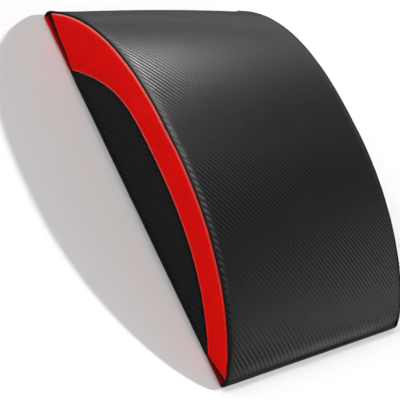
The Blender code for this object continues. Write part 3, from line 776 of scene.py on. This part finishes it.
def make_hem_stitches(material):
    """Two rows of topstitching beside the zip on each underside panel."""
    reach = HALF_WIDTH - STITCH_PITCH
    count = int(2 * reach / STITCH_PITCH)
    xs = [-reach + STITCH_PITCH * (k + 0.5) for k in range(count)]
    for end, direction, hem in (("front", -1, FRONT_BASE_HIGH.y), ("rear", 1, REAR_BASE_LOW.y)):
        rows = [hem + direction * setback for setback in HEM_STITCH_SETBACKS]
        lines = [stitch_line(x, y) for y in rows for x in xs]
        tube(end + "_hem_stitches", lines, THREAD_RADIUS, material, THREAD_ROUNDING)


def make_tapes(material):
    """The woven zip tapes."""
    half = (TAPE_HIGH.x - TAPE_LOW.x) / 2
    middle = (TAPE_LOW.z + TAPE_HIGH.z) / 2
    thick = TAPE_HIGH.z - TAPE_LOW.z
    inner = TEETH_LOW.y - ZIP_Y
    outer = TAPE_HIGH.y - ZIP_Y
    xs = np.linspace(-half, half, UNDERSIDE_COLUMNS + 1)
    for end, direction in ENDS.items():
        ys = ZIP_Y + direction * np.linspace(inner, outer, BEND_STEPS + 1)
        points = np.zeros((len(xs), len(ys), 3))
        points[:, :, 0] = xs[:, None]
        points[:, :, 1] = ys[None]
        points[:, :, 2] = middle + thick / 2
        cloth = points[:, :, :2].copy()
        if direction < 0:
            points, cloth = points[::-1], cloth[::-1]
        name = end + "_zip_cloth"
        piece = new_piece(name, plain_grid(name, points, cloth), material)
        thicken(piece, thick)
        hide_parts(end + "_zip_tape")


def make_coils(material):
    """The meshed coil of the zip: two helices that take turns along the middle line."""
    half = (TEETH_HIGH.x - TEETH_LOW.x) / 2
    outer = TEETH_HIGH.y - ZIP_Y
    radius_y = (outer + COIL_OVERLAP) / 2 - COIL_WIRE
    radius_z = (TEETH_HIGH.z - TEETH_LOW.z) / 2 - COIL_WIRE
    middle = (TEETH_LOW.z + TEETH_HIGH.z) / 2
    turns = int(2 * half / COIL_PITCH) - 1
    for end, direction in ENDS.items():
        start = -turns * COIL_PITCH / 2 + direction * COIL_PITCH / 4
        centre = ZIP_Y + direction * (outer - COIL_OVERLAP) / 2
        line = []
        for k in range(turns * COIL_POINTS + 1):
            turn = 2 * math.pi * k / COIL_POINTS
            x = start + COIL_PITCH * k / COIL_POINTS
            y = centre + direction * radius_y * math.cos(turn)
            line.append((x, y, middle + radius_z * math.sin(turn)))
        piece = tube(end + "_zip_coil", [line], COIL_WIRE, material, THREAD_ROUNDING)
        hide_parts(end + "_zip_teeth")


def softened(name, node, body, material):
    """A copy of a rigid solid with its facets joined and its edges rounded."""
    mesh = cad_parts[node].data.copy()
    bm = bmesh.new()
    bm.from_mesh(mesh)
    bmesh.ops.remove_doubles(bm, verts=bm.verts, dist=WELD_DISTANCE)
    bmesh.ops.dissolve_limit(bm, angle_limit=FLAT_ANGLE, verts=bm.verts, edges=bm.edges)
    bm.to_mesh(mesh)
    bm.free()
    piece = new_piece(name, mesh, material, body)
    edges = piece.modifiers.new("edges", "BEVEL")
    edges.width = METAL_EDGE
    edges.segments = METAL_EDGE_SEGMENTS
    edges.limit_method = "ANGLE"
    mesh.shade_smooth()
    mesh.set_sharp_from_angle(angle=METAL_SMOOTH_ANGLE)
    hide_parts(node)


def sort_faces(mesh):
    """Order the faces by their places, since a Boolean leaves them in another order each run."""
    bm = bmesh.new()
    bm.from_mesh(mesh)
    middles = [face.calc_center_median() for face in bm.faces]
    places = [[round(part, PLACE_DIGITS) for part in middle] for middle in middles]
    order = sorted(range(len(places)), key=places.__getitem__)
    ranks = {index: rank for rank, index in enumerate(order)}
    bm.faces.sort(key=lambda face: ranks[face.index])
    bm.to_mesh(mesh)
    bm.free()


def cut_groove(item):
    """Cut the room for the zip into the underside of a piece."""
    bm = bmesh.new()
    bmesh.ops.create_cube(bm, size=2)
    reach = (2 * HALF_WIDTH, TAPE_HIGH.y - ZIP_Y + CLEARANCE, SLIDER_HIGH.z + CLEARANCE)
    bmesh.ops.scale(bm, vec=reach, verts=bm.verts)
    mesh = bpy.data.meshes.new("groove")
    bm.to_mesh(mesh)
    bm.free()
    cutter = bpy.data.objects.new("groove", mesh)
    cutter.location.y = ZIP_Y
    bpy.context.scene.collection.objects.link(cutter)
    cut = item.modifiers.new("groove", "BOOLEAN")
    cut.operation = "DIFFERENCE"
    cut.object = cutter
    carved = evaluated_mesh(item)
    sort_faces(carved)
    item.modifiers.remove(cut)
    whole = item.data
    item.data = carved
    bpy.data.objects.remove(cutter)
    bpy.data.meshes.remove(whole)
    bpy.data.meshes.remove(mesh)


def make_foam(material):
    """The foam block that fills the cover."""
    profile, _, tucked = across_profile()
    left_out = tucked + FOAM_ROLL_STEPS_LEFT_OUT
    profile = profile[left_out:-left_out]
    places = np.clip(seam_places(TOP_ROWS // 2), FOAM_TIP_SETBACK, SEAM_LENGTH - FOAM_TIP_SETBACK)
    places = np.unique(places)
    points = top_points(profile, places, FOAM_INSET)
    cloth = np.stack(np.broadcast_arrays(profile[:, :1], places[None, :]), axis=2)
    mesh = plain_grid("foam_block", points, cloth)
    close_below(mesh)
    piece = new_piece("foam_block", mesh, material)
    cut_groove(piece)
    piece.data.shade_smooth()
    piece.data.set_sharp_from_angle(angle=FOAM_SMOOTH_ANGLE)
    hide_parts("foam_core")


def close_below(mesh):
    """Drop walls from the rim of a surface to the underside panels, and close them with a base."""
    bm = bmesh.new()
    bm.from_mesh(mesh)
    rim = [edge for edge in bm.edges if edge.is_boundary]
    skirt = bmesh.ops.extrude_edge_only(bm, edges=rim)["geom"]
    for vertex in (v for v in skirt if isinstance(v, bmesh.types.BMVert)):
        vertex.co.z = WALL + CLEARANCE
    base = [edge for edge in bm.edges if edge.is_boundary]
    bmesh.ops.holes_fill(bm, edges=base)
    bmesh.ops.recalc_face_normals(bm, faces=bm.faces)
    bm.to_mesh(mesh)
    bm.free()


class Look:
    """A material with one Principled shader, and short ways to add nodes to it."""

    def __init__(self, name, colour, roughness, specular=0.5, metallic=0.0):
        self.material = bpy.data.materials.new(name)
        self.material.use_nodes = True
        self.tree = self.material.node_tree
        self.shader = self.tree.nodes["Principled BSDF"]
        self.shader.inputs["Base Color"].default_value = (*colour, 1)
        self.shader.inputs["Roughness"].default_value = roughness
        self.shader.inputs["Specular IOR Level"].default_value = specular
        self.shader.inputs["Metallic"].default_value = metallic

    def node(self, kind, **inputs):
        made = self.tree.nodes.new(kind)
        for name, value in inputs.items():
            self.put(value, made.inputs[name])
        return made

    def put(self, value, socket):
        if isinstance(value, bpy.types.NodeSocket):
            self.tree.links.new(value, socket)
        else:
            socket.default_value = value

    def math(self, operation, *values):
        made = self.tree.nodes.new("ShaderNodeMath")
        made.operation = operation
        for value, socket in zip(values, made.inputs):
            self.put(value, socket)
        return made.outputs[0]

    def split(self, vector):
        return self.node("ShaderNodeSeparateXYZ", Vector=vector).outputs

    def cloth(self):
        """The place on the flat cloth in x and y, with the distance to a seam as its third part."""
        made = self.tree.nodes.new("ShaderNodeAttribute")
        made.attribute_name = "cloth"
        return made.outputs["Vector"]

    def object_place(self):
        return self.tree.nodes.new("ShaderNodeTexCoord").outputs["Object"]

    def rising(self, value, start, end):
        """0 up to one value, rising to 1 at another."""
        made = self.node("ShaderNodeMapRange", Value=value)
        made.inputs["From Min"].default_value = start
        made.inputs["From Max"].default_value = end
        return made.outputs["Result"]

    def from_seam(self, start, end):
        """0 up to one distance from a seam, rising to 1 at another."""
        return self.rising(self.split(self.cloth())[2], start, end)

    def slanting(self, start, end):
        """0 where the surface is seen nearly square on, 1 where it is seen at a slant."""
        weight = self.tree.nodes.new("ShaderNodeLayerWeight")
        return self.rising(weight.outputs["Facing"], start, end)

    def towards_rear(self):
        """0 at the thin tip, rising to 1 at the blunt tip."""
        return self.rising(self.split(self.object_place())[1], -HALF_LENGTH, HALF_LENGTH)

    def noise(self, vector, size, detail=DETAIL):
        made = self.node("ShaderNodeTexNoise", Vector=vector, Scale=1 / size, Detail=detail)
        return made.outputs["Fac"]

    def cells(self, vector, size):
        made = self.node("ShaderNodeTexVoronoi", Vector=vector, Scale=1 / size)
        return made.outputs["Distance"]

    def remap(self, value, low, high):
        """A 0 to 1 value stretched to lie between two numbers."""
        made = self.node("ShaderNodeMapRange", Value=value)
        made.inputs["To Min"].default_value = low
        made.inputs["To Max"].default_value = high
        return made.outputs["Result"]

    def blend(self, factor, first, second):
        made = self.tree.nodes.new("ShaderNodeMix")
        made.data_type = "RGBA"
        self.put(factor, made.inputs["Factor"])
        for colour, place in ((first, MIX_FIRST), (second, MIX_SECOND)):
            plain = not isinstance(colour, bpy.types.NodeSocket)
            self.put((*colour, 1) if plain else colour, made.inputs[place])
        return made.outputs[MIX_RESULT]

    def bump(self, height, depth, below=None):
        made = self.node("ShaderNodeBump", Height=height, Distance=depth, Strength=1.0)
        if below is not None:
            self.put(below, made.inputs["Normal"])
        return made.outputs["Normal"]

    def set(self, socket, value):
        self.put(value, self.shader.inputs[socket])


def twill(look, place, tow):
    """Heights of the floats and of the diagonal wales of a twill, and where its warp shows."""
    parts = look.split(place)
    u = look.math("DIVIDE", parts[0], tow)
    v = look.math("DIVIDE", parts[1], tow)
    column = look.math("FLOOR", u)
    row = look.math("FLOOR", v)
    in_column = look.math("SUBTRACT", u, column)
    in_row = look.math("SUBTRACT", v, row)
    phase = look.math("FLOORED_MODULO", look.math("ADD", column, row), TWILL_REPEAT)
    warp = look.math("LESS_THAN", phase, FLOAT_TOWS - 0.5)
    weft = look.math("SUBTRACT", 1.0, warp)
    weft_phase = look.math("SUBTRACT", phase, FLOAT_TOWS)
    along_warp = look.math("MULTIPLY", look.math("ADD", phase, in_row), 1 / FLOAT_TOWS)
    along_weft = look.math("MULTIPLY", look.math("ADD", weft_phase, in_column), 1 / FLOAT_TOWS)

    def arch(value):
        """0 at both ends of a share and 1 in its middle."""
        rest = look.math("SUBTRACT", 1.0, value)
        return look.math("MULTIPLY", look.math("MULTIPLY", value, rest), 4.0)

    def chosen(on_warp, on_weft):
        shares = look.math("MULTIPLY", on_warp, warp), look.math("MULTIPLY", on_weft, weft)
        return look.math("ADD", *shares)

    across = chosen(arch(in_column), arch(in_row))
    along = chosen(arch(along_warp), arch(along_weft))
    crown = look.math("MULTIPLY_ADD", across, TOW_CROWN_SHARE, 1 - TOW_CROWN_SHARE)
    height = look.math("MULTIPLY", crown, look.math("POWER", along, FLOAT_FULLNESS))
    diagonal = look.math("ADD", look.math("ADD", u, v), WALE_SHIFT)
    return height, look.math("PINGPONG", diagonal, FLOAT_TOWS), warp


def twill_vinyl(name, colours, roughness, specular, relief, slant_band):
    """Black vinyl embossed with a twill whose two directions shine differently."""
    warp_colour, weft_colour = colours
    warp_rough, weft_rough = roughness
    look = Look(name, warp_colour, warp_rough, specular)
    place = look.cloth()
    height, wale, warp = twill(look, place, TOW)
    look.set("Base Color", look.blend(warp, weft_colour, warp_colour))
    patches = look.noise(place, VINYL_PATCHES, PLAIN_DETAIL)
    patches = look.remap(patches, -PATCH_ROUGHNESS, PATCH_ROUGHNESS)
    rough = look.math("ADD", look.remap(warp, weft_rough, warp_rough), patches)
    rough = look.math("ADD", rough, look.remap(look.from_seam(0, DULL_REACH), DULL_RISE, 0))
    rough = look.math("ADD", rough, look.remap(look.slanting(*slant_band), 0, SLANT_RISE))
    look.set("Roughness", rough)
    floats = look.math("MULTIPLY", height, relief[0])
    wales = look.math("MULTIPLY", wale, relief[1] / FLOAT_TOWS)
    size, depth = VINYL_GRAIN
    grain = look.bump(look.noise(place, size, PLAIN_DETAIL), depth)
    look.set("Normal", look.bump(look.math("ADD", floats, wales), 1.0, grain))
    return look.material


def red_vinyl(name, open_colours, painted_band_colours, painted_band_reach, seam_shade_reach):
    """Smooth red vinyl with a painted band along its edges and a painted shade line in the seams.

    Each pair of colours is the one at the thin tip and the one at the blunt tip.
    """
    look = Look(name, open_colours[1], RED_ROUGHNESS[0], RED_SPECULAR)
    place = look.cloth()
    patch_size, patch_depth = RED_PATCHES
    pore_size, pore_depth = RED_PORES
    patches = look.noise(place, patch_size)
    rear = look.towards_rear()
    worn = look.blend(rear, *[[value * RED_WEAR for value in colour] for colour in open_colours])
    open_colour = look.blend(patches, look.blend(rear, *open_colours), worn)
    # The band along the edges is painted light: a painted highlight on the crescents, painted shade
    # below the creases of the corner strips.
    painted_band_colour = look.blend(rear, *painted_band_colours)
    with_painted_band = look.blend(look.from_seam(*painted_band_reach), painted_band_colour, open_colour)
    # Painted shade: near black in the seams.
    look.set("Base Color", look.blend(look.from_seam(*seam_shade_reach), SEAM_SHADE_RED, with_painted_band))
    rough = look.remap(look.noise(place, RED_STAINS), *RED_ROUGHNESS)
    slanted = look.remap(look.slanting(*SIDE_SLANT_BAND), 0, SLANT_RISE)
    look.set("Roughness", look.math("ADD", rough, slanted))
    pores = look.cells(place, pore_size)
    look.set("Normal", look.bump(pores, pore_depth, look.bump(patches, patch_depth)))
    return look.material


def cord_vinyl():
    look = Look("cord_vinyl", CORD_BLACK, CORD_ROUGHNESS[0], VINYL_SPECULAR)
    place = look.object_place()
    crease_size, crease_depth = CORD_CREASES
    pore_size, pore_depth = CORD_PORES
    pores = look.bump(look.cells(place, pore_size), pore_depth)
    look.set("Normal", look.bump(look.noise(place, crease_size), crease_depth, pores))
    look.set("Roughness", look.remap(look.noise(place, CORD_STAINS), *CORD_ROUGHNESS))
    return look.material


def woven_tape():
    look = Look("zip_tape", TAPE_TONES[0], *TAPE_SHINE)
    height, _, warp = twill(look, look.cloth(), TAPE_TOW)
    look.set("Base Color", look.blend(warp, *TAPE_TONES))
    look.set("Normal", look.bump(height, TAPE_RELIEF))
    return look.material


def coil_plastic():
    look = Look("zip_teeth", COIL_BLACK, COIL_ROUGHNESS[0])
    stains = look.noise(look.object_place(), COIL_STAINS)
    look.set("Roughness", look.remap(stains, *COIL_ROUGHNESS))
    return look.material


def black_metal():
    look = Look("zip_metal", METAL_TONES[0], METAL_ROUGHNESS[0], metallic=1.0)
    place = look.object_place()
    wear = look.noise(place, METAL_WEAR, FINE_DETAIL)
    look.set("Roughness", look.remap(wear, *METAL_ROUGHNESS))
    look.set("Base Color", look.blend(wear, *METAL_TONES))
    size, depth = METAL_GRAIN
    look.set("Normal", look.bump(look.noise(place, size), depth))
    return look.material


def thread():
    look = Look("black_thread", THREAD_BLACK, *THREAD_SHINE)
    size, depth = THREAD_STRANDS
    look.set("Normal", look.bump(look.noise(look.object_place(), size), depth))
    return look.material


def grey_foam():
    look = Look("grey_foam", FOAM_TONES[0], *FOAM_SHINE)
    size, depth = FOAM_PORES
    pores = look.cells(look.object_place(), size)
    look.set("Base Color", look.blend(pores, *FOAM_TONES))
    look.set("Normal", look.bump(pores, depth))
    return look.material


def make_camera():
    data = bpy.data.cameras.new("camera")
    data.lens = CAMERA_LENS_MM
    data.sensor_width = CAMERA_SENSOR_MM
    camera = bpy.data.objects.new("camera", data)
    bpy.context.scene.collection.objects.link(camera)
    right = CAMERA_RIGHT.normalized()
    up = (CAMERA_UP - CAMERA_UP.dot(right) * right).normalized()
    turn = Matrix((right, up, right.cross(up))).transposed()
    camera.matrix_world = Matrix.Translation(CAMERA_PLACE) @ turn.to_4x4()
    bpy.context.scene.camera = camera


def aim(lamp, towards):
    lamp.rotation_mode = "QUATERNION"
    lamp.rotation_quaternion = Vector(towards).to_track_quat("Z", "Y")


def sun(name, towards, softness, share):
    """A soft light from far away, which gives a surface that faces it that share of full light."""
    data = bpy.data.lights.new(name, "SUN")
    data.angle = math.radians(softness)
    data.energy = share * math.pi
    lamp = bpy.data.objects.new(name, data)
    bpy.context.scene.collection.objects.link(lamp)
    aim(lamp, towards)
    return lamp


def sheen_lamp():
    """A small softbox behind the right side, whose sheen lies on the slope behind the top."""
    data = bpy.data.lights.new("sheen_lamp", "AREA")
    data.size = SHEEN_LAMP_SIZE
    data.energy = SHEEN_LAMP_WATTS
    lamp = bpy.data.objects.new("sheen_lamp", data)
    bpy.context.scene.collection.objects.link(lamp)
    lamp.location = SHEEN_LAMP_PLACE
    lamp.visible_camera = False
    lamp.visible_diffuse = False
    aim(lamp, SHEEN_LAMP_PLACE - SHEEN_LAMP_TARGET)


def make_lights():
    world = bpy.data.worlds.new("studio")
    world.use_nodes = True
    bpy.context.scene.world = world
    background = world.node_tree.nodes["Background"]
    background.inputs["Color"].default_value = (1, 1, 1, 1)
    background.inputs["Strength"].default_value = WORLD_LEVEL
    for name, towards, softness, share in SUNS:
        lamp = sun(name, towards, softness, share)
        lamp.visible_glossy = name != "key_light"
    sheen_lamp()


def floor_material():
    """Plain and pale from above, clear from below."""
    material = bpy.data.materials.new("floor")
    material.use_nodes = True
    tree = material.node_tree
    shader = tree.nodes["Principled BSDF"]
    shader.inputs["Base Color"].default_value = (FLOOR_SHADE, FLOOR_SHADE, FLOOR_SHADE, 1)
    shader.inputs["Roughness"].default_value = FLOOR_ROUGHNESS
    shader.inputs["Specular IOR Level"].default_value = 0.0
    sides = tree.nodes.new("ShaderNodeMixShader")
    clear = tree.nodes.new("ShaderNodeBsdfTransparent")
    surface = tree.nodes["Material Output"].inputs["Surface"]
    tree.links.new(tree.nodes.new("ShaderNodeNewGeometry").outputs["Backfacing"], sides.inputs[0])
    tree.links.new(shader.outputs[0], sides.inputs[1])
    tree.links.new(clear.outputs[0], sides.inputs[2])
    tree.links.new(sides.outputs[0], surface)
    return material


def make_floor():
    """The floor, just below the mat's lowest threads, so that the zip can be seen from below."""
    opening = (HALF_WIDTH - FLOOR_MARGIN, HALF_LENGTH - FLOOR_MARGIN)
    corners = ((-1, -1), (1, -1), (1, 1), (-1, 1))
    bm = bmesh.new()
    outer, inner = (
        [bm.verts.new((x * side, y * end, 0)) for side, end in corners]
        for x, y in ((FLOOR_REACH, FLOOR_REACH), opening)
    )
    for k in range(4):
        bm.faces.new((outer[k - 1], outer[k], inner[k], inner[k - 1]))
    mesh = bpy.data.meshes.new("floor")
    bm.to_mesh(mesh)
    bm.free()
    floor = bpy.data.objects.new("floor", mesh)
    floor.location.z = -THREAD_RADIUS
    bpy.context.scene.collection.objects.link(floor)
    mesh.materials.append(floor_material())


def make_model():
    top_vinyl = twill_vinyl(
        "ribbed_vinyl", TOP_COLOURS, TOP_ROUGHNESS, TOP_SPECULAR, TOP_RELIEF, TOP_SLANT_BAND
    )
    dark_vinyl = twill_vinyl(
        "dark_vinyl", DARK_COLOURS, DARK_ROUGHNESS, VINYL_SPECULAR, DARK_RELIEF, SIDE_SLANT_BAND
    )
    # Painted highlight along the crescents' edges, paler towards the blunt tip.
    highlight_edge = (FRONT_HIGHLIGHT_RED, REAR_HIGHLIGHT_RED)
    red = red_vinyl("red_vinyl", (FULL_RED, FULL_RED), highlight_edge, HIGHLIGHT_BAND, SEAM_SHADE_BAND)
    # The corner strips get a shaded copy of the red: painted shade towards the thin tip and below
    # their creases.
    shade_edge = (SHADED_MAROON, SHADED_MAROON)
    shaded_strip_red = red_vinyl("shaded_strip_red_vinyl", (SHADED_DEEP_RED, FULL_RED), shade_edge, MAROON_SHADE_BAND, CREASE_SHADE_BAND)
    cord = cord_vinyl()
    tape = woven_tape()
    metal = black_metal()
    make_foam(grey_foam())
    make_top(top_vinyl)
    for word, side in SIDES.items():
        make_crescent(word, side, red)
        make_inner_panel(word, side, dark_vinyl)
        make_binding(word, side, cord)
        for end, direction in ENDS.items():
            make_corner_strip(end, word, direction, side, shaded_strip_red)
        softened(word + "_zip_end", word + "_zip_stop", "mat", metal)
    make_cords(cord)
    hem_top = TAPE_LOW.z - CLEARANCE
    front_rise = FRONT_CORD_Z - EDGE_CORD_RADIUS
    rear_rise = REAR_CORD_Z - EDGE_CORD_RADIUS
    make_underside("front", -1, -HALF_LENGTH, front_rise, FRONT_BASE_HIGH.y, hem_top, dark_vinyl)
    make_underside("rear", 1, HALF_LENGTH, rear_rise, REAR_BASE_LOW.y, hem_top, dark_vinyl)
    make_hem_stitches(thread())
    make_tapes(tape)
    make_coils(coil_plastic())
    softened("slider_body", "zip_slider", "slider", metal)
    softened("pull_tab", "zip_pull", "pull", metal)


make_model()
make_camera()
make_lights()
make_floor()
bpy.context.scene.view_settings.view_transform = "Standard"
